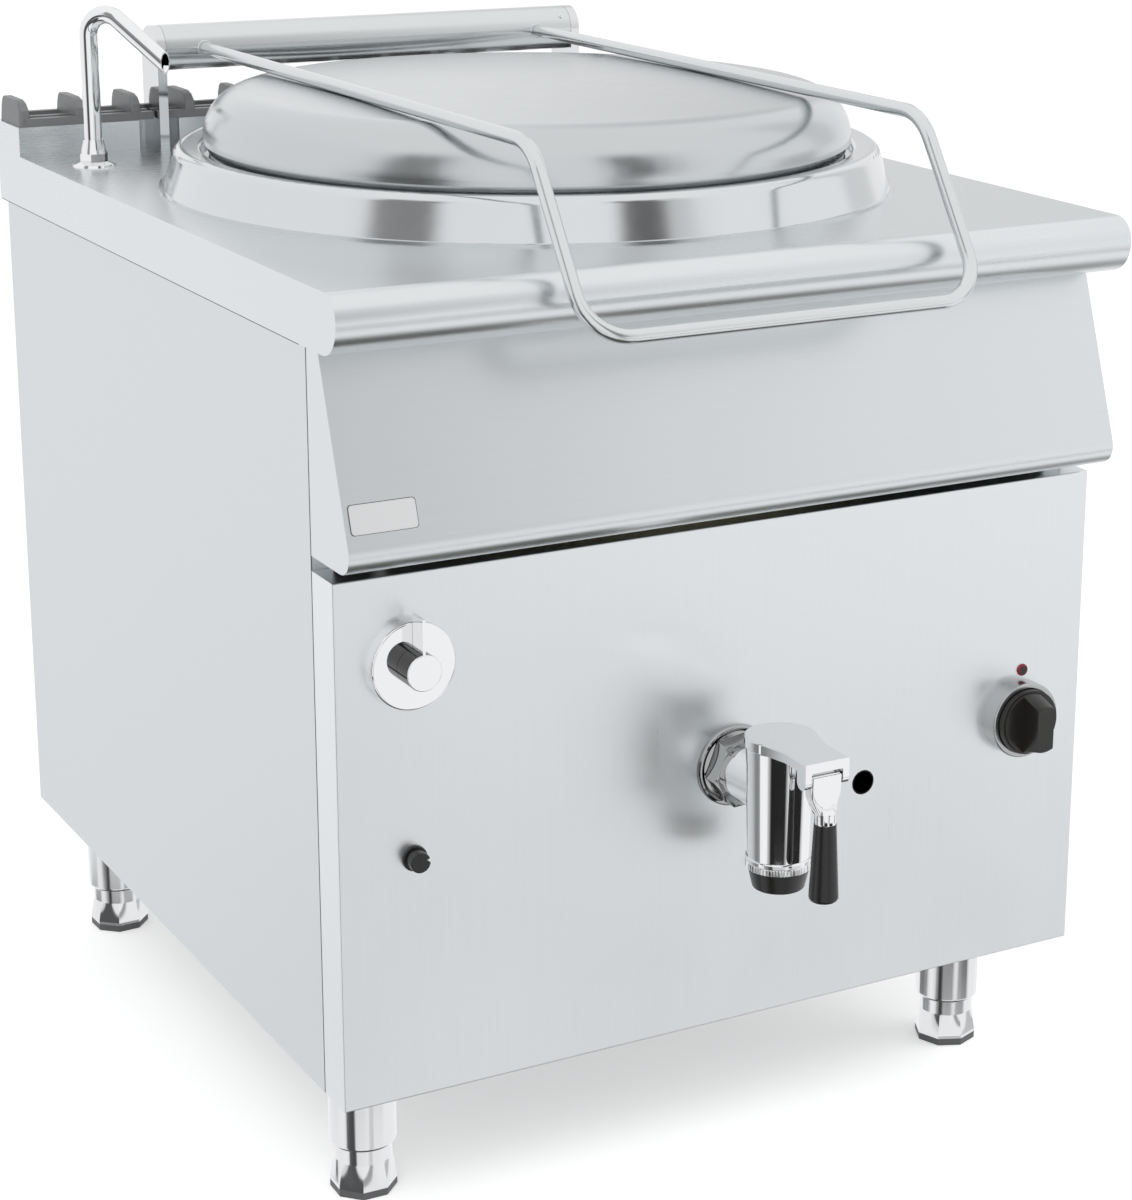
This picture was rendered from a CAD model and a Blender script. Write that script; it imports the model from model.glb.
# %% [markdown]
# # A steam jacketed kettle in stainless steel
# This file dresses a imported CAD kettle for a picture. The CAD solids stay as the
# frame; new pieces are modelled round them with Blender's own tools, and every
# surface gets a finish made of nodes. Lengths are in metres, the front faces -Y.

# %% Load the frame
import math

import bmesh
import bpy
from mathutils import Matrix, Vector


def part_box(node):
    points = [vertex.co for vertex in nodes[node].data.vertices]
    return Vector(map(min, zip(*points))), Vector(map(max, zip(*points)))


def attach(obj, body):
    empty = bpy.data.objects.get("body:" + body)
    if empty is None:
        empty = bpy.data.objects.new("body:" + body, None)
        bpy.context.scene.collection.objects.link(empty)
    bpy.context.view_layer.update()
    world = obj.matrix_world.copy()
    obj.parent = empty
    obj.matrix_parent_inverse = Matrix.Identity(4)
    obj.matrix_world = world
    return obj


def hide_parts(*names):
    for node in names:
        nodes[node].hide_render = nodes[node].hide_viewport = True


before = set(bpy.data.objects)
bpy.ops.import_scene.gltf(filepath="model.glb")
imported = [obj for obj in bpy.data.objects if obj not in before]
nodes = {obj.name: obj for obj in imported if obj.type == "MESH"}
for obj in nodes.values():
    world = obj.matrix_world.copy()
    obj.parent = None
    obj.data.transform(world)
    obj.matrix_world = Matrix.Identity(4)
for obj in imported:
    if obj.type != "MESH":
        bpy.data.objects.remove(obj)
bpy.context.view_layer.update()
bpy.ops.object.select_all(action="DESELECT")

# %% [markdown]
# The CAD keeps depths from the face of the lower front panel, because everything a
# cook sees is set out from it. Three small helpers repeat that here: `MM` turns
# millimetres into metres, `front(d)` gives the Y of a depth, and `deselect` clears
# the selection before an operator runs.

# %% Places and small helpers
MM = 0.001
BODY_DEPTH, TAP_REACH = 860.0, 168.5
FRONT_Y = -(BODY_DEPTH - TAP_REACH) / 2 * MM


def front(depth_mm):
    return FRONT_Y + depth_mm * MM


def deselect():
    if bpy.context.object and bpy.context.object.mode == "EDIT":
        bpy.ops.object.mode_set(mode="OBJECT")
    bpy.ops.object.select_all(action="DESELECT")


print("front panel face at y", round(FRONT_Y, 4))

# %% [markdown]
# ## Camera
# A long lens from the front left, a little above the lid, shows the worktop as a
# slim ellipse. The small lens shift only frames the object.

# %% Camera
SENSOR = 36.0
FOCAL_PX, FRAME_W, FRAME_H = 2854.8, 1132.0, 1200.0
CENTRE_X, CENTRE_Y = 664.9, 502.2
CAMERA_AT = (-1.2733, -2.1041 + FRONT_Y, 1.3278)
CAMERA_TURN = (74.457, -0.430, -29.540)
camera_data = bpy.data.cameras.new("studio_camera")
camera_data.sensor_fit = "VERTICAL"
camera_data.sensor_height = SENSOR
camera_data.sensor_width = SENSOR
camera_data.lens = FOCAL_PX / FRAME_H * SENSOR
camera_data.shift_x = (FRAME_W / 2 - CENTRE_X) / FRAME_H
camera_data.shift_y = (CENTRE_Y - FRAME_H / 2) / FRAME_H
camera = bpy.data.objects.new("studio_camera", camera_data)
bpy.context.scene.collection.objects.link(camera)
camera.location = CAMERA_AT
camera.rotation_euler = [math.radians(angle) for angle in CAMERA_TURN]
bpy.context.scene.camera = camera
print("lens", round(camera_data.lens, 1), "mm")

# %% [markdown]
# ## Studio
# Polished steel shows what stands round it, so the studio is part of the finish. The
# world is white for the camera; for reflections it is a white room with a few dark
# boards standing round it, which draw the dark bands on the chrome. Matt surfaces get
# an even light and two soft lamps. The floor is white card that keeps a soft shadow.

# %% World
world = bpy.data.worlds.new("studio_room")
bpy.context.scene.world = world
world.use_nodes = True
wn, wl = world.node_tree.nodes, world.node_tree.links
wn.clear()


def wnode(kind, **values):
    node = wn.new(kind)
    for key, value in values.items():
        setattr(node, key, value)
    return node


def wmath(operation, a, b=None):
    node = wnode("ShaderNodeMath", operation=operation)
    for socket, value in zip(node.inputs, (a, b)):
        if isinstance(value, (int, float)):
            socket.default_value = value
        elif value is not None:
            wl.new(value, socket)
    return node.outputs[0]


def boards(name, stops):
    """Ramp round the horizon: pairs of angle in degrees from +X and brightness."""
    ramp = wnode("ShaderNodeValToRGB", name=name)
    ramp.color_ramp.interpolation = "EASE"
    marks = ramp.color_ramp.elements
    while len(marks) > 1:
        marks.remove(marks[-1])
    marks[0].position = 0.0
    for index, (angle, level) in enumerate(stops):
        place = (angle + 180) / 360
        mark = marks[0] if index == 0 else marks.new(place)
        mark.position = place
        mark.color = (level, level, level * 1.01, 1)
    return ramp


direction = wnode("ShaderNodeTexCoord")
parts = wnode("ShaderNodeSeparateXYZ")
wl.new(direction.outputs["Generated"], parts.inputs[0])
turn = wmath("ARCTAN2", parts.outputs["Y"], parts.outputs["X"])
around = wmath("ADD", wmath("DIVIDE", turn, 2 * math.pi), 0.5)
LEG_BOARDS = [(-180, 1), (-171, .9), (-167, .08), (-142, .08), (-136, .95), (-95, 1),
              (-88, .7), (-80, .7), (-73, 1), (179, 1)]
TAP_BOARDS = [(-180, 1), (-168, 1), (-160, .5), (-151, .02), (-105, .02), (-97, .5),
              (-91, 1), (-85, 1), (-78, .3), (-71, .02), (-45, .02), (-37, .7), (-30, 1),
              (113, 1), (120, .03), (155, .03), (164, .8), (172, 1), (179, 1)]
MID_BOARDS = [(-180, .8), (-176, .8), (-169, .1), (-146, .1), (-138, .95), (-91, 1),
              (-87, .4), (-79, .4), (-74, .98), (-60, 1), (-24, 1), (-19, .6), (0, .6),
              (5, .97), (172, .97), (179, .8)]
HIGH_BOARDS = [(-180, .97), (-172, .95), (-165, .3), (-150, .28), (-143, .97), (-90, 1),
               (-84, .16), (-74, .16), (-70, .7), (-66, .74), (-58, .96), (-50, 1),
               (0, 1), (6, .8), (18, .8), (26, 1), (44, 1), (50, .76), (57, .78),
               (67, .98), (179, .97)]
leg_ring = boards("leg_boards", LEG_BOARDS)
tap_ring = boards("tap_boards", TAP_BOARDS)
mid_ring = boards("mid_boards", MID_BOARDS)
high_ring = boards("high_boards", HIGH_BOARDS)
for ring in (leg_ring, tap_ring, mid_ring, high_ring):
    wl.new(around, ring.inputs[0])


def wblend(factor, a, b):
    node = wnode("ShaderNodeMix", data_type="RGBA")
    wl.new(factor, node.inputs["Factor"])
    for socket, value in ((node.inputs["A"], a), (node.inputs["B"], b)):
        if isinstance(value, tuple):
            socket.default_value = value
        else:
            wl.new(value, socket)
    return node.outputs["Result"]


def rise(low, high):
    """0 below one height of the direction, 1 above the other."""
    node = wnode("ShaderNodeMapRange", interpolation_type="SMOOTHSTEP")
    node.inputs["From Min"].default_value = low
    node.inputs["From Max"].default_value = high
    wl.new(parts.outputs["Z"], node.inputs["Value"])
    return node.outputs[0]


# heights, as the Z of a direction, between which one ring of boards gives way to the next
TAP_FROM, MID_FROM, HIGH_FROM = (-0.442, -0.434), (-0.392, -0.386), (-0.06, 0.04)
CEILING_FROM, FLOOR_TO = (0.55, 0.8), (-0.84, -0.70)
CEILING, DARK_FLOOR = (1.0, 1.0, 1.0, 1), (0.10, 0.10, 0.09, 1)
MATT_LEVEL = 0.62
room = wblend(rise(*TAP_FROM), leg_ring.outputs[0], tap_ring.outputs[0])
room = wblend(rise(*MID_FROM), room, mid_ring.outputs[0])
room = wblend(rise(*HIGH_FROM), room, high_ring.outputs[0])
room = wblend(rise(*FLOOR_TO), DARK_FLOOR, room)
room = wblend(rise(*CEILING_FROM), room, CEILING)
rays = wnode("ShaderNodeLightPath")
shiny_ray = wmath("MAXIMUM", rays.outputs["Is Glossy Ray"], rays.outputs["Is Transmission Ray"])
matt_light = wnode("ShaderNodeBackground")
matt_light.inputs["Color"].default_value = (1, 1, 1, 1)
matt_light.inputs["Strength"].default_value = MATT_LEVEL
room_light = wnode("ShaderNodeBackground")
wl.new(room, room_light.inputs["Color"])
white_back = wnode("ShaderNodeBackground")
white_back.inputs["Color"].default_value = (1, 1, 1, 1)
first = wnode("ShaderNodeMixShader")
wl.new(shiny_ray, first.inputs[0])
wl.new(matt_light.outputs[0], first.inputs[1])
wl.new(room_light.outputs[0], first.inputs[2])
second = wnode("ShaderNodeMixShader")
wl.new(rays.outputs["Is Camera Ray"], second.inputs[0])
wl.new(first.outputs[0], second.inputs[1])
wl.new(white_back.outputs[0], second.inputs[2])
world_out = wnode("ShaderNodeOutputWorld")
wl.new(second.outputs[0], world_out.inputs[0])
bpy.context.scene.view_settings.view_transform = "Standard"
print("world:", len(wn), "nodes")

# %% Lamps and floor
LAMPS = {  # place, size in metres, power in watts
    "key_softbox": ((-2.2, -2.6, 3.2), (2.4, 2.0), 60),
    "fill_softbox": ((2.8, -1.6, 2.4), (2.2, 2.2), 34),
}
LAMPS_AIM = Vector((0, 0, 0.5))
CARD_GLOW = 0.45
for name, (place, size, power) in LAMPS.items():
    lamp_data = bpy.data.lights.new(name, "AREA")
    lamp_data.shape = "RECTANGLE"
    lamp_data.size, lamp_data.size_y = size
    lamp_data.energy = power
    lamp = bpy.data.objects.new(name, lamp_data)
    lamp.location = place
    lamp.rotation_euler = (LAMPS_AIM - Vector(place)).to_track_quat("-Z", "Y").to_euler()
    lamp.visible_glossy = False
    bpy.context.scene.collection.objects.link(lamp)

bpy.ops.mesh.primitive_circle_add(vertices=96, radius=60, fill_type="NGON", location=(0, 0, 0))
floor = bpy.context.object
floor.name = "studio_floor"
floor.visible_glossy = False
card = bpy.data.materials.new("white_card")
card.use_nodes = True
card_shader = card.node_tree.nodes["Principled BSDF"]
card_shader.inputs["Base Color"].default_value = (0.9, 0.9, 0.9, 1)
card_shader.inputs["Roughness"].default_value = 0.9
card_rays = card.node_tree.nodes.new("ShaderNodeLightPath")
card_glow = card.node_tree.nodes.new("ShaderNodeMath")
card_glow.operation = "MULTIPLY"
card_glow.inputs[1].default_value = CARD_GLOW
card.node_tree.links.new(card_rays.outputs["Is Camera Ray"], card_glow.inputs[0])
card_shader.inputs["Emission Color"].default_value = (1, 1, 1, 1)
card.node_tree.links.new(card_glow.outputs[0], card_shader.inputs["Emission Strength"])
floor.data.materials.append(card)
print("lamps", list(LAMPS), "and a white floor")

# %% [markdown]
# ## Surface effects
# Rolled and brushed sheet shows fine lines one way and soft smudges where hands and
# cloths have been. Both are made once, as node groups, and set by each finish.

# %% Helper for node groups
def new_group(name, inputs, outputs):
    """Empty shader group with named sockets; each input is (name, kind, default)."""
    group = bpy.data.node_groups.new(name, "ShaderNodeTree")
    for label, kind, value in inputs:
        socket = group.interface.new_socket(name=label, in_out="INPUT", socket_type=kind)
        if value is not None:
            socket.default_value = value
    for label, kind in outputs:
        group.interface.new_socket(name=label, in_out="OUTPUT", socket_type=kind)
    return group, group.nodes.new("NodeGroupInput"), group.nodes.new("NodeGroupOutput")


def link(tree, source, target):
    tree.links.new(source, target)


def add_node(tree, kind, links=None, values=None, **settings):
    """Node with settings, socket values and links, all by socket name or number."""
    node = tree.nodes.new(kind)
    for key, value in settings.items():
        setattr(node, key, value)
    for key, value in (values or {}).items():
        node.inputs[key].default_value = value
    for key, source in (links or {}).items():
        tree.links.new(source, node.inputs[key])
    return node


# %% Group: brushed grain
grain, grain_in, grain_out = new_group(
    "brushed_grain",
    [("Stretch", "NodeSocketVector", (1, 1, 1)), ("Colour", "NodeSocketColor", (.6, .6, .6, 1)),
     ("Contrast", "NodeSocketFloat", 0.05), ("Roughness", "NodeSocketFloat", 0.3),
     ("Spread", "NodeSocketFloat", 0.06)],
    [("Colour", "NodeSocketColor"), ("Roughness", "NodeSocketFloat"),
     ("Height", "NodeSocketFloat")],
)
place = add_node(grain, "ShaderNodeTexCoord")
lay = add_node(grain, "ShaderNodeMapping",
               {"Vector": place.outputs["Object"], "Scale": grain_in.outputs["Stretch"]})
lines = add_node(grain, "ShaderNodeTexNoise", {"Vector": lay.outputs[0]},
                 {"Scale": 1.0, "Detail": 3.0, "Roughness": 0.6})
cloud = add_node(grain, "ShaderNodeTexNoise", {"Vector": place.outputs["Object"]},
                 {"Scale": 5.0, "Detail": 2.0})
lines_mid = add_node(grain, "ShaderNodeMath", {0: lines.outputs["Fac"]}, {1: 0.5},
                     operation="SUBTRACT")
cloud_mid = add_node(grain, "ShaderNodeMath", {0: cloud.outputs["Fac"]}, {1: 0.5},
                     operation="SUBTRACT")
both = add_node(grain, "ShaderNodeMath", {0: lines_mid.outputs[0], 1: cloud_mid.outputs[0]},
                operation="ADD")
tone = add_node(grain, "ShaderNodeMath", {0: both.outputs[0], 1: grain_in.outputs["Contrast"]},
                {2: 1.0}, operation="MULTIPLY_ADD")
shade = add_node(grain, "ShaderNodeVectorMath",
                 {0: grain_in.outputs["Colour"], "Scale": tone.outputs[0]}, operation="SCALE")
polish = add_node(grain, "ShaderNodeMath",
                  {0: both.outputs[0], 1: grain_in.outputs["Spread"],
                   2: grain_in.outputs["Roughness"]}, operation="MULTIPLY_ADD")
link(grain, shade.outputs[0], grain_out.inputs["Colour"])
link(grain, polish.outputs[0], grain_out.inputs["Roughness"])
link(grain, lines.outputs["Fac"], grain_out.inputs["Height"])
print("group", grain.name)

# %% Group: cast skin, for castings and moulded plastic
skin, skin_in, skin_out = new_group(
    "cast_skin",
    [("Size", "NodeSocketFloat", 400.0), ("Colour", "NodeSocketColor", (.3, .3, .3, 1)),
     ("Contrast", "NodeSocketFloat", 0.2), ("Roughness", "NodeSocketFloat", 0.5)],
    [("Colour", "NodeSocketColor"), ("Roughness", "NodeSocketFloat"),
     ("Height", "NodeSocketFloat")],
)
place = add_node(skin, "ShaderNodeTexCoord")
pits = add_node(skin, "ShaderNodeTexNoise",
                {"Vector": place.outputs["Object"], "Scale": skin_in.outputs["Size"]},
                {"Detail": 4.0, "Roughness": 0.65})
cloud = add_node(skin, "ShaderNodeTexNoise", {"Vector": place.outputs["Object"]},
                 {"Scale": 22.0, "Detail": 3.0})
both = add_node(skin, "ShaderNodeMath", {0: pits.outputs["Fac"], 1: cloud.outputs["Fac"]},
                operation="ADD")
mid = add_node(skin, "ShaderNodeMath", {0: both.outputs[0]}, {1: 1.0}, operation="SUBTRACT")
tone = add_node(skin, "ShaderNodeMath", {0: mid.outputs[0], 1: skin_in.outputs["Contrast"]},
                {2: 1.0}, operation="MULTIPLY_ADD")
shade = add_node(skin, "ShaderNodeVectorMath",
                 {0: skin_in.outputs["Colour"], "Scale": tone.outputs[0]}, operation="SCALE")
polish = add_node(skin, "ShaderNodeMath", {0: mid.outputs[0], 2: skin_in.outputs["Roughness"]},
                  {1: 0.15}, operation="MULTIPLY_ADD")
link(skin, shade.outputs[0], skin_out.inputs["Colour"])
link(skin, polish.outputs[0], skin_out.inputs["Roughness"])
link(skin, pits.outputs["Fac"], skin_out.inputs["Height"])
print("group", skin.name)


# %% [markdown]
# ## Finishes
# One function builds a finish: the shader stays in the material, its even values sit
# on its own sockets, and the group feeds what changes over the surface.

# %% Helper: one finish
def finish(name, group, settings, bump, **sockets):
    made = bpy.data.materials.new(name)
    made.use_nodes = True
    tree = made.node_tree
    shader = tree.nodes["Principled BSDF"]
    for key, value in sockets.items():
        shader.inputs[key.replace("_", " ")].default_value = value
    effect = add_node(tree, "ShaderNodeGroup", node_tree=group)
    for key, value in settings.items():
        effect.inputs[key].default_value = value
    link(tree, effect.outputs["Colour"], shader.inputs["Base Color"])
    link(tree, effect.outputs["Roughness"], shader.inputs["Roughness"])
    relief = add_node(tree, "ShaderNodeBump", {"Height": effect.outputs["Height"]},
                      {"Strength": 1.0, "Distance": bump})
    link(tree, relief.outputs[0], shader.inputs["Normal"])
    return made


def steel(name, colour, roughness, stretch, contrast=0.05, spread=0.08, bump=0.00001):
    settings = {"Stretch": stretch, "Colour": colour + (1,), "Contrast": contrast,
                "Roughness": roughness, "Spread": spread}
    return finish(name, grain, settings, bump, Metallic=1.0)


def moulded(name, colour, roughness, size=500.0, contrast=0.2, bump=0.00004, **sockets):
    settings = {"Size": size, "Colour": colour + (1,), "Contrast": contrast,
                "Roughness": roughness}
    return finish(name, skin, settings, bump, **sockets)


# %% The finishes
ALONG_X, ALONG_Y, ALONG_Z = (8, 500, 500), (500, 8, 500), (500, 500, 8)
EVEN, CLOSE = (60, 60, 60), (40, 40, 40)
LOOSE, CAST = (80, 80, 80), (200, 200, 200)
front_sheet = steel("front_sheet", (.83, .855, .865), 0.3, ALONG_Z, bump=0.000006)
console_sheet = steel("console_sheet", (.755, .785, .795), 0.3, ALONG_X, bump=0.000006)
side_sheet = steel("side_sheet", (.73, .76, .772), 0.36, ALONG_Y, bump=0.000006)
worktop_steel = steel("worktop_sheet", (.755, .782, .792), 0.27, ALONG_X, contrast=0.02,
                      spread=0.02, bump=0.0000007)
lid_steel = steel("lid_sheet", (.60, .625, .635), 0.22, EVEN, contrast=0.03, bump=0.000003)
spun_steel = steel("spun_sheet", (.70, .72, .73), 0.13, EVEN, contrast=0.03, bump=0.000003)
polished_bar = steel("polished_bar", (.715, .735, .74), 0.21, EVEN, contrast=0.03, spread=0.05)
sooted_tube = steel("sooted_tube", (.02, .02, .02), 0.5, LOOSE, contrast=0.2)
shaded_plate = steel("shaded_plate", (.40, .405, .405), 0.06, CLOSE, contrast=0.03, spread=0.03)
bezel_plate = steel("bezel_plate", (.50, .51, .51), 0.2, CLOSE, contrast=0.05)
chrome = steel("chrome_plate", (.86, .865, .87), 0.035, CLOSE, contrast=0.02, spread=0.03)
post_steel = steel("post_plate", (.74, .75, .76), 0.06, ALONG_Z, contrast=0.03, spread=0.04)
leg_steel = steel("leg_tube", (.80, .81, .82), 0.12, ALONG_Z)
zinc = steel("zinc_sheet", (.5, .52, .54), 0.4, CLOSE, contrast=0.3)
inner_steel = steel("plain_pipe", (.5, .48, .45), 0.35, LOOSE, contrast=0.2)
brass = steel("cast_brass", (.62, .47, .22), 0.35, CAST, contrast=0.2, bump=0.0001)
grille_cast = moulded("cast_grille", (.205, .21, .212), 0.42, size=300, contrast=0.25,
                      bump=0.0002, Metallic=0.3)
black_plastic = moulded("black_plastic", (.010, .0095, .009), 0.28, size=900)
knob_plastic = moulded("knob_plastic", (.016, .0145, .013), 0.22, size=900)
white_plastic = moulded("white_plastic", (.7, .69, .64), 0.4, size=700)
wool = moulded("mineral_wool", (.45, .40, .25), 0.9, size=600, contrast=0.5, bump=0.001)
print("finishes", len(bpy.data.materials))

# %% [markdown]
# The levelling feet are steel, and stand on a grey plastic pad. Foot and pad are one
# solid, so the finish changes at the height of the pad: a mask made from the object's
# own Z turns the metal into plastic below it.

# %% Finish of the levelling feet
PAD_TOP = 7.6 * MM
PAD_GREY, PAD_ROUGH = (.12, .122, .125, 1), 0.5
foot_steel = leg_steel.copy()
foot_steel.name = "foot_and_pad"
tree = foot_steel.node_tree
shader = tree.nodes["Principled BSDF"]
shine = shader.inputs["Base Color"].links[0].from_socket
rough = shader.inputs["Roughness"].links[0].from_socket
place = add_node(tree, "ShaderNodeTexCoord")
height = add_node(tree, "ShaderNodeSeparateXYZ", {0: place.outputs["Object"]})
is_pad = add_node(tree, "ShaderNodeMath", {0: height.outputs["Z"]}, {1: PAD_TOP},
                  operation="LESS_THAN")
is_steel = add_node(tree, "ShaderNodeMath", {1: is_pad.outputs[0]}, {0: 1.0},
                    operation="SUBTRACT")
pad_colour = add_node(tree, "ShaderNodeMix", {"Factor": is_pad.outputs[0], "A": shine},
                      {"B": PAD_GREY}, data_type="RGBA")
pad_rough = add_node(tree, "ShaderNodeMix", {"Factor": is_pad.outputs[0], "A": rough},
                     {"B": PAD_ROUGH})
link(tree, pad_colour.outputs["Result"], shader.inputs["Base Color"])
link(tree, pad_rough.outputs[0], shader.inputs["Roughness"])
link(tree, is_steel.outputs[0], shader.inputs["Metallic"])
print("pad below", PAD_TOP)

# %% [markdown]
# The gas lamp is a small dome of dark red glass. Its middle looks nearly black while
# it is out, and the rim shows the red.

# %% Finish of the lamp
low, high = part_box("indicator_lamp")
LAMP_AT = ((low[0] + high[0]) / 2, low[1], (low[2] + high[2]) / 2)
DARK_R, RED_R = 3.6 * MM, 5.5 * MM
UNLIT = (.02, .006, .008, 1)
lamp_red = moulded("lamp_red", (.25, .012, .03), 0.12, size=300, contrast=0.1)
tree = lamp_red.node_tree
shader = tree.nodes["Principled BSDF"]
glass = shader.inputs["Base Color"].links[0].from_socket
place = add_node(tree, "ShaderNodeTexCoord")
from_middle = add_node(tree, "ShaderNodeVectorMath", {0: place.outputs["Object"]},
                       {1: LAMP_AT}, operation="DISTANCE")
rim = add_node(tree, "ShaderNodeMapRange", {"Value": from_middle.outputs["Value"]},
               {"From Min": DARK_R, "From Max": RED_R})
lens_colour = add_node(tree, "ShaderNodeMix", {"Factor": rim.outputs[0], "B": glass},
                       {"A": UNLIT}, data_type="RGBA")
link(tree, lens_colour.outputs["Result"], shader.inputs["Base Color"])
print("lamp at", [round(v, 4) for v in LAMP_AT])

# %% [markdown]
# The water control's hub has a bright face and a barrel plated dark. They are one
# solid, so a mask picks the barrel: near the hub's axis, and behind its face.

# %% Finish of the water control
hub_plate = steel("hub_plate", (.86, .865, .87), 0.05, (40, 40, 40), contrast=0.02, spread=0.03)
hub_low, hub_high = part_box("water_control_handle")
HUB_R = (hub_high[0] - hub_low[0]) / 2
HUB_AXIS = ((hub_low[0] + hub_high[0]) / 2, 0, hub_low[2] + HUB_R)
FACE_DEEP, BARREL_DARK = 0.6 * MM, (.06, .06, .06, 1)
tree = hub_plate.node_tree
shader = tree.nodes["Principled BSDF"]
bright = shader.inputs["Base Color"].links[0].from_socket
place = add_node(tree, "ShaderNodeTexCoord")
flat_place = add_node(tree, "ShaderNodeVectorMath", {0: place.outputs["Object"]},
                      {1: (1, 0, 1)}, operation="MULTIPLY")
from_axis = add_node(tree, "ShaderNodeVectorMath", {0: flat_place.outputs[0]},
                     {1: HUB_AXIS}, operation="DISTANCE")
on_barrel = add_node(tree, "ShaderNodeMath", {0: from_axis.outputs["Value"]},
                     {1: HUB_R * 1.03}, operation="LESS_THAN")
depth_place = add_node(tree, "ShaderNodeSeparateXYZ", {0: place.outputs["Object"]})
behind_face = add_node(tree, "ShaderNodeMath", {0: depth_place.outputs["Y"]},
                       {1: hub_low[1] + FACE_DEEP}, operation="GREATER_THAN")
barrel = add_node(tree, "ShaderNodeMath", {0: on_barrel.outputs[0], 1: behind_face.outputs[0]},
                  operation="MULTIPLY")
hub_colour = add_node(tree, "ShaderNodeMix", {"Factor": barrel.outputs[0], "A": bright},
                      {"B": BARREL_DARK}, data_type="RGBA")
link(tree, hub_colour.outputs["Result"], shader.inputs["Base Color"])
print("hub radius", round(HUB_R, 4), "axis", [round(v, 4) for v in HUB_AXIS])

# %% Finishes on the CAD nodes
WEAR = {
    front_sheet: ["front_panel", "rear_panel"],
    console_sheet: ["console_panel"],
    side_sheet: ["left_side_panel", "right_side_panel"],
    worktop_steel: ["worktop"],
    lid_steel: ["lid_outer_shell", "lid_inner_shell"],
    spun_steel: ["kettle_collar", "vessel", "jacket"],
    polished_bar: ["lid_handle_rod", "hinge_tube"],
    post_steel: ["hinge_posts"],
    chrome: ["spout_tube", "spout_flange", "spout_nut", "water_control_disc", "drain_flange",
             "drain_tap_body", "tap_clamp_ring", "drain_tap_cover", "drain_lever",
             "drain_lever_pin", "drain_tap_plug"],
    hub_plate: ["water_control_handle"],
    shaded_plate: ["drain_hex_nut", "drain_pipe"],
    bezel_plate: ["gas_knob_bezel"],
    leg_steel: ["leg_sleeves"],
    foot_steel: ["foot_front_left", "foot_front_right", "foot_rear_left",
                 "foot_rear_right"],
    zinc: ["base_frame", "base_pan", "combustion_chamber", "flue_duct", "burner"],
    inner_steel: ["balance_spring", "water_valve_spindle", "gas_spindle", "gas_supply_pipe",
                  "burner_pipe", "water_supply_pipe", "spout_feed_pipe", "gas_valve_plunger",
                  "hinge_axles"],
    sooted_tube: ["sight_tube"],
    brass: ["water_valve", "gas_valve"],
    grille_cast: ["flue_grille"],
    black_plastic: ["igniter_button", "igniter_body", "drain_lever_grip",
                    "drain_outlet_nozzle"],
    knob_plastic: ["gas_knob"],
    white_plastic: ["hinge_bushes"],
    wool: ["jacket_insulation"],
    lamp_red: ["indicator_lamp"],
}
dressed = 0
for made, names in WEAR.items():
    for name in names:
        node = nodes[name]
        node.data.materials.clear()
        node.data.materials.append(made)
        dressed += 1
print("finished nodes", dressed, "of", len(nodes))

# %% [markdown]
# ## Working by hand, in code
# A modeller works in edit mode: pick faces or edges, run an operator, and leave. The
# helpers below do the same. `edit` opens a piece, `pick` selects by place or normal,
# and `hand_over` closes it: it puts the place into the mesh, smooths the shading, and
# says which body the piece rides on and which finish slot it belongs to.

# %% Helpers for pieces
def edit(piece, mode="FACE"):
    deselect()
    piece.select_set(True)
    bpy.context.view_layer.objects.active = piece
    bpy.ops.object.mode_set(mode="EDIT")
    bpy.ops.mesh.select_mode(type=mode)
    bpy.ops.mesh.select_all(action="DESELECT")


def pick(piece, kind, test):
    """Select the faces, edges or verts of the piece in edit mode that pass the test."""
    mesh = bmesh.from_edit_mesh(piece.data)
    chosen = 0
    for item in getattr(mesh, kind):
        item.select_set(bool(test(item)))
        chosen += item.select
    mesh.select_flush_mode()
    bmesh.update_edit_mesh(piece.data)
    return chosen


def faces_to(piece, axis, least=0.9):
    return pick(piece, "faces", lambda f: f.normal.dot(Vector(axis)) > least)


def extrude(x, y, z):
    bpy.ops.mesh.extrude_region_move(TRANSFORM_OT_translate={"value": (x, y, z)})


def hand_over(piece, name, made, body, replaced=(), smooth=35):
    deselect()
    piece.select_set(True)
    bpy.context.view_layer.objects.active = piece
    bpy.ops.object.transform_apply(location=True, rotation=True, scale=True)
    piece.name = piece.data.name = name
    piece.data.materials.clear()
    piece.data.materials.append(made)
    bpy.ops.object.shade_smooth_by_angle(angle=math.radians(smooth))
    level = piece.modifiers.new("flat_faces_stay_flat", "WEIGHTED_NORMAL")
    level.keep_sharp = True
    bpy.ops.object.modifier_apply(modifier=level.name)
    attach(piece, body)
    if replaced:
        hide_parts(*replaced)
    print("piece", name, "faces", len(piece.data.polygons))
    return piece


def soften(piece, width, segments=2, angle=30):
    """Round the sharp edges with an applied Bevel modifier."""
    deselect()
    piece.select_set(True)
    bpy.context.view_layer.objects.active = piece
    bevel = piece.modifiers.new("softened_edges", "BEVEL")
    bevel.width = width
    bevel.segments = segments
    bevel.limit_method = "ANGLE"
    bevel.angle_limit = math.radians(angle)
    bpy.ops.object.modifier_apply(modifier=bevel.name)


# %% [markdown]
# ## Castings and mouldings with soft edges
# A CAD solid has knife edges. On the real grille, knob, tap cover and hex nut every
# edge is a little round from the mould or from polishing, and it is that small radius
# that catches the light. Each of these starts from a copy of its solid, whose loose
# triangles are merged into whole faces, and a Bevel modifier then rounds the edges.

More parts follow.
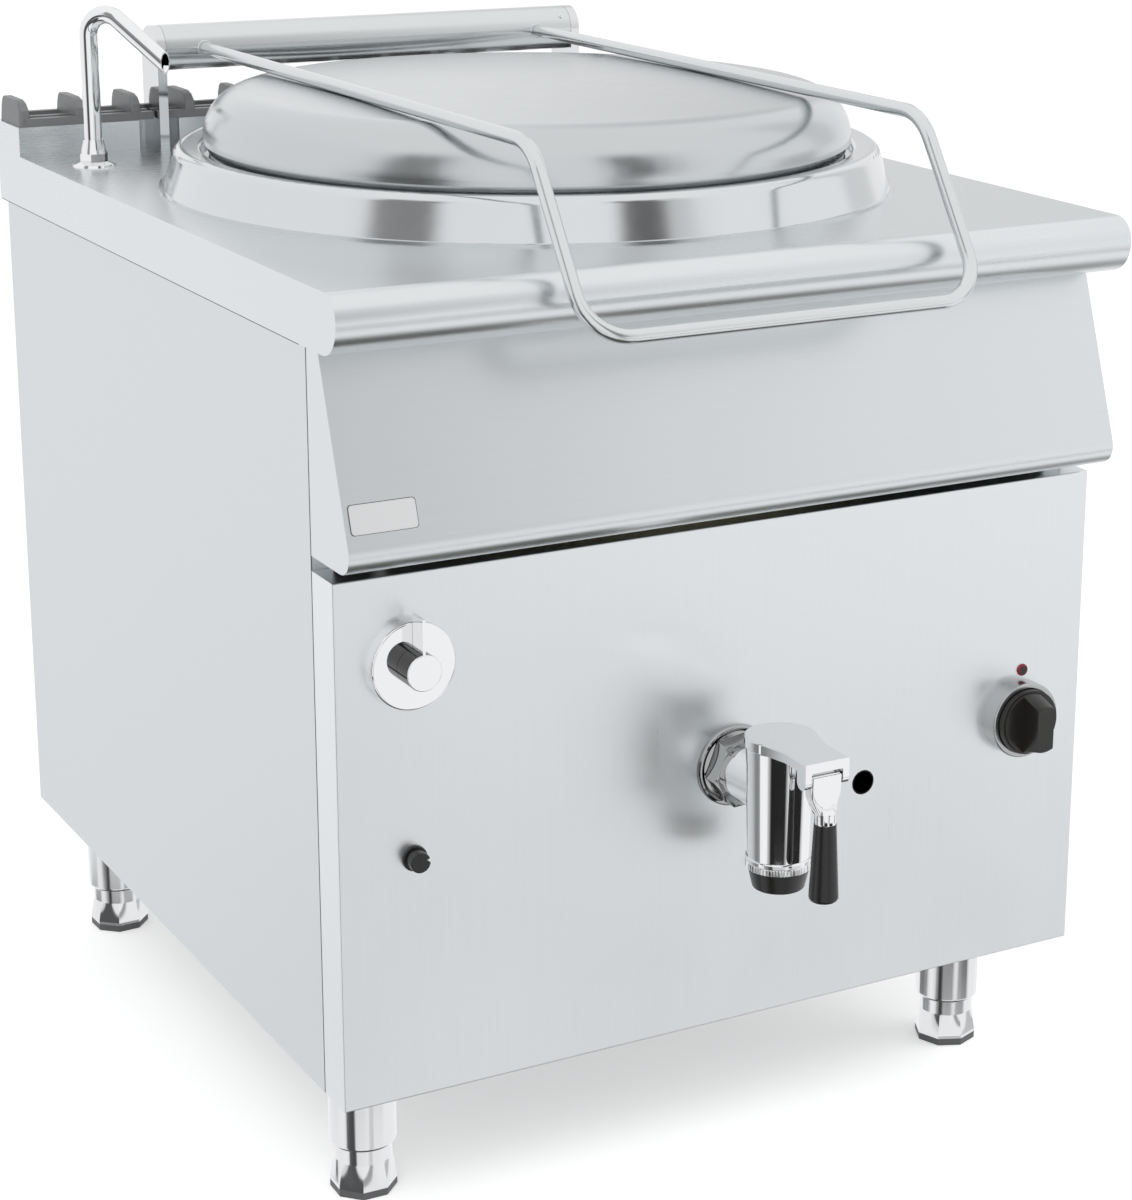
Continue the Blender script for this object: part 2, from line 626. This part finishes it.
# %% Softened copies
def softened_copy(node, name, width, made, body, segments=2, angle=30, flat=0.6):
    piece = bpy.data.objects.new(name, nodes[node].data.copy())
    bpy.context.scene.collection.objects.link(piece)
    edit(piece, "VERT")
    bpy.ops.mesh.select_all(action="SELECT")
    bpy.ops.mesh.remove_doubles(threshold=0.00001)
    bpy.ops.mesh.dissolve_limited(angle_limit=math.radians(flat))
    bpy.ops.object.mode_set(mode="OBJECT")
    soften(piece, width, segments, angle)
    return hand_over(piece, name, made, body, (node,))


softened_copy("flue_grille", "grille_casting", 1.1 * MM, grille_cast, "casing")
softened_copy("gas_knob", "gas_knob_moulding", 1.6 * MM, knob_plastic, "gas_control",
              segments=3)
softened_copy("drain_tap_cover", "tap_cover_casting", 0.7 * MM, chrome, "casing",
              angle=25)
softened_copy("drain_hex_nut", "tap_hex_nut", 0.5 * MM, shaded_plate, "casing")
softened_copy("igniter_button", "igniter_cap", 0.4 * MM, black_plastic, "igniter")

# %% [markdown]
# ## Drain lever
# The lever is a pressed steel hood: a folded channel hangs from the pin between the
# ears of the tap cover, tapers down to a short round ferrule over the black grip, and
# carries a shield-shaped front plate. A block is tapered by extruding its underside,
# then rounded; the plate is a grid whose rows are scaled into the shield.

# %% Lever hood
pin_low, pin_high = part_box("drain_lever_pin")
grip_low, grip_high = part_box("drain_lever_grip")
PIN_Y, PIN_Z = (pin_low[1] + pin_high[1]) / 2, (pin_low[2] + pin_high[2]) / 2
GRIP_Y, GRIP_TOP = (grip_low[1] + grip_high[1]) / 2, grip_high[2]
HOOD_WIDE, HOOD_DEEP, HOOD_TALL = 30.6 * MM, 12.4 * MM, 20 * MM
SHOULDER_OUT, SHOULDER_TALL, NECK_TALL = 1.5 * MM, 10 * MM, 9 * MM
FERRULE_R, FERRULE_TALL = 9.7 * MM, 10.4 * MM
deselect()
bpy.ops.mesh.primitive_cube_add(size=1, location=(0, PIN_Y, PIN_Z - 4 * MM),
                                scale=(HOOD_WIDE, HOOD_DEEP, HOOD_TALL))
hood = bpy.context.object
bpy.ops.object.transform_apply(location=True, rotation=True, scale=True)
edit(hood)
faces_to(hood, (0, 0, -1))
extrude(0, -SHOULDER_OUT, -SHOULDER_TALL)
bpy.ops.transform.resize(value=(0.78, 1.0, 1))
extrude(0, GRIP_Y - PIN_Y + SHOULDER_OUT, -NECK_TALL)
bpy.ops.transform.resize(value=(0.72, 1.05, 1))
bpy.ops.object.mode_set(mode="OBJECT")
soften(hood, 2.6 * MM, 4, 25)
deselect()
bpy.ops.mesh.primitive_cylinder_add(vertices=48, radius=FERRULE_R, depth=1,
                                    end_fill_type="NGON",
                                    location=(0, GRIP_Y, GRIP_TOP + 5 * MM),
                                    scale=(1, 1, FERRULE_TALL))
ferrule = bpy.context.object
bpy.ops.object.transform_apply(location=True, rotation=True, scale=True)
edit(ferrule)
faces_to(ferrule, (0, 0, 1))
extrude(0, 0, 4 * MM)
bpy.ops.transform.resize(value=(0.8, 0.62, 1))
bpy.ops.object.mode_set(mode="OBJECT")
soften(ferrule, 0.7 * MM, 2, 40)
print("hood round the pin at", round(PIN_Y, 4), round(PIN_Z, 4))

# %% Shield plate of the lever
SHIELD_TOP, SHIELD_LOW, SHIELD_WIDE = PIN_Z + 4.5 * MM, PIN_Z - 27 * MM, 29 * MM
SHIELD_TALL = SHIELD_TOP - SHIELD_LOW
ROWS, LAST_TAPERED = 14, 9
deselect()
bpy.ops.mesh.primitive_grid_add(x_subdivisions=8, y_subdivisions=ROWS, size=1,
                                location=(0, PIN_Y - 6.4 * MM, (SHIELD_TOP + SHIELD_LOW) / 2),
                                rotation=(math.pi / 2, 0, 0))
plate = bpy.context.object
plate.scale = (SHIELD_WIDE, SHIELD_TALL, 1)
bpy.ops.object.transform_apply(location=True, rotation=True, scale=True)
edit(plate, "VERT")
for row in range(ROWS + 1):
    level = SHIELD_LOW + SHIELD_TALL * row / ROWS
    pick(plate, "verts", lambda v: abs(v.co.z - level) < 0.3 * MM)
    drop = max(0.0, 1 - row / LAST_TAPERED)
    bpy.ops.transform.resize(value=(1 - 0.84 * drop ** 2.2, 1, 1),
                             center_override=(0, PIN_Y, level))
    bpy.ops.transform.translate(value=(0, -0.9 * MM * drop, 0))
bpy.ops.object.mode_set(mode="OBJECT")
thick = plate.modifiers.new("plate_thickness", "SOLIDIFY")
thick.thickness = 1.6 * MM
thick.offset = 0
bpy.ops.object.modifier_apply(modifier=thick.name)
soften(plate, 0.4 * MM, 2, 40)
deselect()
for part in (ferrule, plate, hood):
    part.select_set(True)
bpy.context.view_layer.objects.active = hood
bpy.ops.object.join()
hand_over(hood, "drain_lever_hood", chrome, "drain_lever_arm",
          ("drain_lever",))

# %% [markdown]
# ## Knurled ring
# The ring under the tap holds the outlet. Its lower half is knurled with upright teeth
# for the fingers, its upper half is turned smooth. A short cylinder has one side face
# for each tooth; every face is inset by itself and pushed out, which leaves a groove
# between two teeth. The smooth half is extruded from the top.

# %% Clamp ring
ring_low, ring_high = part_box("tap_clamp_ring")
RING_R = (ring_high[0] - ring_low[0]) / 2
RING_Y = (ring_low[1] + ring_high[1]) / 2
TEETH, TOOTH_DEEP, GROOVE_HALF, BORE_R = 66, 0.8 * MM, 0.85 * MM, 21.2 * MM
ROOT_R = RING_R - TOOTH_DEEP
KNURL_SHARE, COLLAR_LOW, CHAMFER = 0.6, 0.5 * MM, 0.8 * MM
knurl_high = (ring_high[2] - ring_low[2]) * KNURL_SHARE
deselect()
bpy.ops.mesh.primitive_cylinder_add(vertices=TEETH, radius=ROOT_R, depth=1,
                                    end_fill_type="NGON",
                                    location=(0, RING_Y, ring_low[2] + knurl_high / 2),
                                    scale=(1, 1, knurl_high))
knurl = bpy.context.object
bpy.ops.object.transform_apply(location=True, rotation=True, scale=True)
edit(knurl)
pick(knurl, "faces", lambda f: abs(f.normal.z) < 0.5)
bpy.ops.mesh.inset(thickness=GROOVE_HALF, depth=TOOTH_DEEP * 0.95, use_individual=True)
faces_to(knurl, (0, 0, 1))
extrude(0, 0, COLLAR_LOW)
extrude(0, 0, 0.01 * MM)
bpy.ops.transform.resize(value=(RING_R / ROOT_R, RING_R / ROOT_R, 1))
extrude(0, 0, ring_high[2] - ring_low[2] - knurl_high - COLLAR_LOW - CHAMFER)
extrude(0, 0, CHAMFER - 0.01 * MM)
bpy.ops.transform.resize(value=(1 - CHAMFER / RING_R, 1 - CHAMFER / RING_R, 1))
pick(knurl, "faces", lambda f: abs(f.normal.z) > 0.9 and f.calc_area() > 0.0005)
bpy.ops.mesh.inset(thickness=ROOT_R - BORE_R, use_boundary=True)
bpy.ops.mesh.bridge_edge_loops()
bpy.ops.object.mode_set(mode="OBJECT")
hand_over(knurl, "tap_knurled_ring", chrome, "casing", ("tap_clamp_ring",),
          smooth=25)

# %% [markdown]
# ## Rolled console
# The console is one folded sheet: a slanted front that rolls round a wide nose into a
# flat underside, with closed ends and an open back. A cube of its full depth and
# height gets its top front edge moved back to make the slope, the nose edge is
# bevelled into a round, the back face is deleted and Solidify gives the sheet.

# %% Console
SLOPE_TOP = (front(19.4), 821.7 * MM)
NOSE_CORNER = (front(-44.0), 638.0 * MM)
CONSOLE_BACK, HALF_PANEL, SHEET = front(44.0), 392.5 * MM, 1.5 * MM
NOSE_R = 20 * MM
SLOPE = math.atan2(SLOPE_TOP[0] - NOSE_CORNER[0], SLOPE_TOP[1] - NOSE_CORNER[1])
deselect()
bpy.ops.mesh.primitive_cube_add(size=1)
console = bpy.context.object
console.location = (0, (NOSE_CORNER[0] + CONSOLE_BACK) / 2,
                    (NOSE_CORNER[1] + SLOPE_TOP[1]) / 2)
console.scale = (2 * HALF_PANEL, CONSOLE_BACK - NOSE_CORNER[0],
                 SLOPE_TOP[1] - NOSE_CORNER[1])
bpy.ops.object.transform_apply(location=True, rotation=True, scale=True)
edit(console, "EDGE")
pick(console, "edges", lambda e: all(v.co.z > SLOPE_TOP[1] - MM and v.co.y < NOSE_CORNER[0] + MM
                                     for v in e.verts))
bpy.ops.transform.translate(value=(0, SLOPE_TOP[0] - NOSE_CORNER[0], 0))
pick(console, "edges", lambda e: all(v.co.z < NOSE_CORNER[1] + MM and v.co.y < NOSE_CORNER[0] + MM
                                     for v in e.verts))
bpy.ops.mesh.bevel(offset=NOSE_R / math.tan((math.pi / 2 - SLOPE) / 2), segments=14)
bpy.ops.mesh.select_mode(type="FACE")
faces_to(console, (0, 1, 0))
bpy.ops.mesh.delete(type="FACE")
bpy.ops.object.mode_set(mode="OBJECT")
wall = console.modifiers.new("sheet_thickness", "SOLIDIFY")
wall.thickness = SHEET
wall.offset = -1
wall.use_even_offset = True
bpy.ops.object.modifier_apply(modifier=wall.name)
soften(console, 0.4 * MM, 2, 50)
hand_over(console, "rolled_console", console_sheet, "casing",
          ("console_panel",), smooth=30)

# %% [markdown]
# ## Joints between the sheets
# Under the worktop skirt, and where the side panels meet the folded front, a thin
# line of dark sealant fills the joint. Each line is a slim bar with round edges.

# %% Sealed joints
sealant = moulded("joint_sealant", (.10, .105, .11), 0.6, size=900)


def joint(name, low, high):
    deselect()
    bpy.ops.mesh.primitive_cube_add(size=1)
    bar = bpy.context.object
    bar.location = [(a + b) / 2 * MM for a, b in zip(low, high)]
    bar.scale = [(b - a) * MM for a, b in zip(low, high)]
    bpy.ops.object.transform_apply(location=True, rotation=True, scale=True)
    soften(bar, 0.15 * MM, 2, 60)
    hand_over(bar, name, sealant, "casing")


FRONT_MM = FRONT_Y / MM
SKIRT_X, EDGE_X = (392.3, 399.7), (391.8, 392.75)
for side, sign in (("left", -1), ("right", 1)):
    skirt = sorted(sign * x for x in SKIRT_X)
    joint(f"skirt_joint_{side}", (skirt[0], FRONT_MM + 42, 821.0),
          (skirt[1], FRONT_MM + 858, 821.95))
    edge = sorted(sign * x for x in EDGE_X)
    joint(f"front_joint_{side}", (edge[0], FRONT_MM + 43.6, 141.0),
          (edge[1], FRONT_MM + 44.6, 820.9))

# %% [markdown]
# ## Rose on the panel
# The rose is the turned disc that covers the hole in the panel. Its profile, a rolled
# rim and a shallow dish, is drawn as a line of points by extruding one vertex after
# another, and spun once round the pipe.

# %% Rose
rose_low, rose_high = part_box("drain_flange")
ROSE_Z = (rose_low[2] + rose_high[2]) / 2
ROSE_PROFILE = [  # radius and height above the panel, in millimetres
    (17.5, 0), (38.6, 0), (39.0, 1.0), (38.7, 2.4), (37.6, 3.5), (36.2, 3.9), (34.8, 3.6),
    (33.4, 3.2), (31.0, 4.4), (27.0, 5.6), (17.5, 5.9), (17.5, 0)]
deselect()
bpy.ops.mesh.primitive_plane_add(size=1, location=(0, 0, 0))
rose = bpy.context.object
edit(rose, "VERT")
pick(rose, "verts", lambda v: v.index > 0)
bpy.ops.mesh.delete(type="VERT")
pick(rose, "verts", lambda v: True)
bpy.ops.transform.translate(value=(0.5 + ROSE_PROFILE[0][0] * MM, 0.5, 0))
for (r0, t0), (r1, t1) in zip(ROSE_PROFILE, ROSE_PROFILE[1:]):
    extrude((r1 - r0) * MM, (t0 - t1) * MM, 0)
pick(rose, "verts", lambda v: True)
bpy.ops.mesh.spin(steps=96, angle=2 * math.pi, center=(0, 0, 0), axis=(0, 1, 0))
bpy.ops.mesh.select_all(action="SELECT")
bpy.ops.mesh.remove_doubles(threshold=0.00001)
bpy.ops.mesh.normals_make_consistent(inside=False)
bpy.ops.object.mode_set(mode="OBJECT")
rose.location = (0, rose_high[1], ROSE_Z)
hand_over(rose, "tap_rose", shaded_plate, "casing", ("drain_flange",),
          smooth=28)

# %% [markdown]
# ## Bare plate on the console
# Low on the left of the slanted console is a thin metal plate with round corners. It
# is left blank. A cube of the plate's size is turned to the slope, its four corner
# edges get a large bevel and the rim of its face a tiny one. A slightly larger copy
# behind it is the dark adhesive bed that shows as a thin line round the plate.

# %% Bare plate
PLATE_X, PLATE_Z = -357.2 * MM, 685.8 * MM
PLATE_WIDE, PLATE_TALL, PLATE_THICK = 60 * MM, 25 * MM, 0.9 * MM
BED_WIDE, BED_TALL, BED_BACK = 61.4 * MM, 26.2 * MM, 0.35 * MM
plate_y = SLOPE_TOP[0] - (SLOPE_TOP[1] - PLATE_Z) * math.tan(SLOPE)
deselect()
bpy.ops.mesh.primitive_cube_add(size=1, location=(PLATE_X, plate_y - BED_BACK, PLATE_Z),
                                rotation=(-SLOPE, 0, 0),
                                scale=(PLATE_WIDE, PLATE_THICK, PLATE_TALL))
badge = bpy.context.object
bpy.ops.object.transform_apply(location=False, rotation=False, scale=True)
edit(badge, "EDGE")
pick(badge, "edges", lambda e: abs(e.verts[0].co.y - e.verts[1].co.y) > 0.5 * MM)
bpy.ops.mesh.bevel(offset=3.2 * MM, segments=6)
bpy.ops.object.mode_set(mode="OBJECT")
soften(badge, 0.25 * MM, 2, 60)
bed = badge.copy()
bed.data = badge.data.copy()
bpy.context.scene.collection.objects.link(bed)
deselect()
bed.select_set(True)
bpy.context.view_layer.objects.active = bed
bpy.ops.transform.resize(value=(BED_WIDE / PLATE_WIDE, 1, BED_TALL / PLATE_TALL))
bpy.ops.transform.translate(value=(0, BED_BACK, 0))
hand_over(bed, "plate_bed", sealant, "casing")
badge_plate = steel("bare_plate", (.94, .945, .945), 0.35, ALONG_X, contrast=0.03)
hand_over(badge, "bare_console_plate", badge_plate, "casing")

# %% [markdown]
# ## Screw and welds
# Small fixings tell how the kettle is put together. A set screw holds the balance
# spring in the hinge tube: a pan head with a recess pressed into it, turned to stand
# square on the tube. The handle rods are welded to the tube, so a small bead goes
# round each joint.

# %% Spring screw
HEAD_R, HEAD_HIGH, HEAD_SCALE = 3.4 * MM, 1.6 * MM, 0.75
SCREW_X, SCREW_LEAN, SCREW_SUNK = 229 * MM, math.radians(36), 0.1 * MM
tube_low, tube_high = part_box("hinge_tube")
TUBE_Y, TUBE_Z = (tube_low[1] + tube_high[1]) / 2, (tube_low[2] + tube_high[2]) / 2
TUBE_R = (tube_high[2] - tube_low[2]) / 2
deselect()
bpy.ops.mesh.primitive_cylinder_add(vertices=24, radius=HEAD_R, depth=HEAD_HIGH,
                                    location=(0, 0, HEAD_HIGH / 2))
screw = bpy.context.object
edit(screw)
faces_to(screw, (0, 0, 1))
bpy.ops.mesh.inset(thickness=HEAD_R * 0.28)
bpy.ops.transform.translate(value=(0, 0, HEAD_HIGH * 0.25))
bpy.ops.mesh.inset(thickness=HEAD_R * 0.34)
extrude(0, 0, -HEAD_HIGH * 0.7)
bpy.ops.transform.resize(value=(0.8, 0.8, 1))
bpy.ops.object.mode_set(mode="OBJECT")
bpy.ops.object.transform_apply(location=True, rotation=True, scale=True)
facing = Vector((0, -math.cos(SCREW_LEAN), math.sin(SCREW_LEAN)))
spot = Vector((SCREW_X, TUBE_Y, TUBE_Z)) + facing * TUBE_R
screw.matrix_world = (Matrix.Translation(spot - facing * SCREW_SUNK)
                      @ facing.to_track_quat("Z", "Y").to_matrix().to_4x4()
                      @ Matrix.Diagonal((HEAD_SCALE, HEAD_SCALE, HEAD_SCALE, 1)))
hand_over(screw, "spring_screw_0", leg_steel, "lid")

# %% Weld beads
rod_low, rod_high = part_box("lid_handle_rod")
ROD_R, BEAD_R, BEAD_STEPS, RIPPLE = 6.5 * MM, 1.3 * MM, 40, 0.25 * MM
for side, x in (("left", rod_low[0] + ROD_R), ("right", rod_high[0] - ROD_R)):
    deselect()
    bpy.ops.mesh.primitive_torus_add(major_segments=BEAD_STEPS, minor_segments=10,
                                     major_radius=ROD_R + 0.5 * MM, minor_radius=BEAD_R,
                                     location=(x, TUBE_Y - TUBE_R + 0.6 * MM, TUBE_Z),
                                     rotation=(math.pi / 2, 0, 0))
    bead = bpy.context.object
    bpy.ops.object.transform_apply(location=True, rotation=True, scale=True)
    edit(bead, "VERT")
    for step in range(0, BEAD_STEPS, 2):
        at = 2 * math.pi * step / BEAD_STEPS
        ray = Vector((math.cos(at), 0, math.sin(at)))
        pick(bead, "verts",
             lambda v: (v.co - Vector((x, v.co.y, TUBE_Z))).normalized().dot(ray) > 0.9985)
        bpy.ops.transform.translate(value=(RIPPLE * ray.x, 0, RIPPLE * ray.z))
    bead_mesh = bmesh.from_edit_mesh(bead.data)
    for vert in bead_mesh.verts:
        up = vert.co.z - TUBE_Z
        vert.co.y += TUBE_R - math.sqrt(TUBE_R ** 2 - up ** 2)
    bmesh.update_edit_mesh(bead.data)
    bpy.ops.object.mode_set(mode="OBJECT")
    hand_over(bead, f"rod_weld_{side}", polished_bar, "lid", smooth=60)
